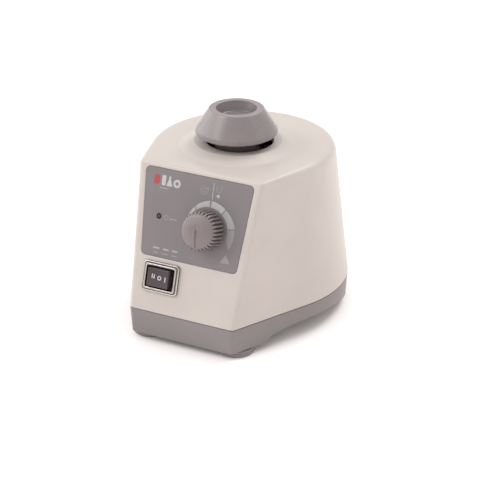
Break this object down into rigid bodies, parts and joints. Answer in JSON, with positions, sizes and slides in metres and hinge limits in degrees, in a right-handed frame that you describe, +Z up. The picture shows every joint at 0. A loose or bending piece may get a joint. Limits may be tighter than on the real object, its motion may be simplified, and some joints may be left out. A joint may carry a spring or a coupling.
{
  "type": "vortex mixer",
  "caption": "Bench vortex mixer with a sloped front, speed knob, rocker switch and a press-to-run rubber cup that orbits to shake a tube.",
  "frame": {"origin": "on the bench under the middle of the body, where the motor axis meets it", "axes": "+X to the user's right, -Y the sloped front with the knob, +Y the rear with the mains inlet, +Z up along the motor axis"},
  "size_m": [0.127, 0.1452, 0.128],
  "materials": {
    "white_body": "semi-gloss white paint",
    "gray_base": "satin gray paint",
    "gray_label": "matt printed overlay",
    "gray_rubber": "matt gray rubber",
    "knob_gray": "satin gray plastic",
    "switch_frame": "silvery gloss",
    "black_plastic": "semi-gloss black plastic",
    "red_lens": "dark red lens",
    "steel": "machined steel",
    "aluminium": "cast aluminium",
    "brass": "plain brass",
    "winding_tape": "wrapped winding",
    "board_green": "board lacquer",
    "capacitor_case": "gray potted case",
    "dark_rubber": "black rubber",
    "fuse_glass": "clear glass",
    "wire_cover": "insulated wire"
  },
  "bodies": {
    "root": {"housing": "white_body", "base": "gray_base", "front_label": "gray_label", "foot_front_left": "gray_rubber", "foot_front_right": "gray_rubber", "foot_rear_left": "gray_rubber", "foot_rear_right": "gray_rubber", "switch_bezel": "switch_frame", "switch_body": "black_plastic", "inlet_body": "black_plastic", "microswitch": "black_plastic", "power_led": "red_lens", "pot_body": "steel", "pot_nut": "steel", "base_screw_1": "steel", "base_screw_2": "steel", "base_screw_3": "steel", "base_screw_4": "steel", "motor_bolt_1": "steel", "motor_bolt_2": "steel", "motor_bolt_3": "steel", "motor_bolt_4": "steel", "stator_core": "steel", "return_spring": "steel", "spring_guide": "steel", "top_bracket": "aluminium", "bottom_bracket": "aluminium", "triac_heatsink": "aluminium", "inlet_pin_line": "brass", "inlet_pin_neutral": "brass", "inlet_pin_earth": "brass", "top_bush": "brass", "bottom_bush": "brass", "stator_coil": "winding_tape", "control_board": "board_green", "filter_capacitor": "capacitor_case", "restraint_post_1": "dark_rubber", "restraint_post_2": "dark_rubber", "restraint_post_3": "dark_rubber", "wire_inlet_to_switch": "wire_cover", "wire_switch_to_board": "wire_cover", "wire_board_to_coil": "wire_cover"},
    "speed_knob": {"speed_knob": "knob_gray", "pot_shaft": "steel"},
    "rocker": {"rocker": "black_plastic"},
    "fuse_drawer": {"fuse_drawer": "black_plastic", "fuse": "fuse_glass"},
    "plunger": {"thrust_plunger": "steel"},
    "rotor": {"motor_shaft": "steel", "rotor_core": "aluminium", "cooling_fan": "black_plastic", "eccentric": "steel", "eccentric_screw": "steel"},
    "head": {"head_hub": "black_plastic", "head_bearing": "steel"},
    "cup": {"cup_head": "gray_rubber"},
    "switch_lever": {"microswitch_lever": "steel"},
    "switch_button": {"microswitch_button": "red_lens"}
  },
  "joints": [
    {"name": "speed_knob_turn", "type": "hinge", "parent": "root", "child": "speed_knob", "pos_m": [0.0092, -0.05614, 0.0726], "axis": [0, 0.9543, -0.2989], "range_deg": [0, 300]},
    {"name": "rocker_tilt", "type": "hinge", "parent": "root", "child": "rocker", "pos_m": [-0.0161, -0.06328, 0.03978], "axis": [0, 0.2989, 0.9543], "range_deg": [-10, 10]},
    {"name": "fuse_drawer_pull", "type": "slide", "parent": "root", "child": "fuse_drawer", "axis": [0, 1, 0], "range_m": [0, 0.018]},
    {"name": "touch_press", "type": "slide", "parent": "root", "child": "plunger", "axis": [0, 0, -1], "range_m": [0, 0.002], "stiffness_N_per_m": 3000, "springref_m": -0.006, "deforming": ["return_spring"]},
    {"name": "motor_spin", "type": "hinge", "parent": "plunger", "child": "rotor", "pos_m": [0, 0, 0.05], "axis": [0, 0, 1], "continuous": true},
    {"name": "head_orbit", "type": "hinge", "parent": "rotor", "child": "head", "pos_m": [0, -0.002, 0.096], "axis": [0, 0, 1], "continuous": true},
    {"name": "cup_lift", "type": "slide", "parent": "head", "child": "cup", "axis": [0, 0, 1], "range_m": [0, 0.012]},
    {"name": "switch_lever_swing", "type": "hinge", "parent": "root", "child": "switch_lever", "pos_m": [0.025, 0, 0.02135], "axis": [0, -1, 0], "range_deg": [0, 9]},
    {"name": "switch_button_press", "type": "slide", "parent": "root", "child": "switch_button", "axis": [0, 0, -1], "range_m": [0, 0.0008]}
  ],
  "couplings": [
    {"joint": "head_orbit", "follows": "motor_spin", "ratio": -1},
    {"joint": "switch_lever_swing", "follows": "touch_press", "rad_per_m": 71.43},
    {"joint": "switch_button_press", "follows": "touch_press", "ratio": 0.36}
  ]
}
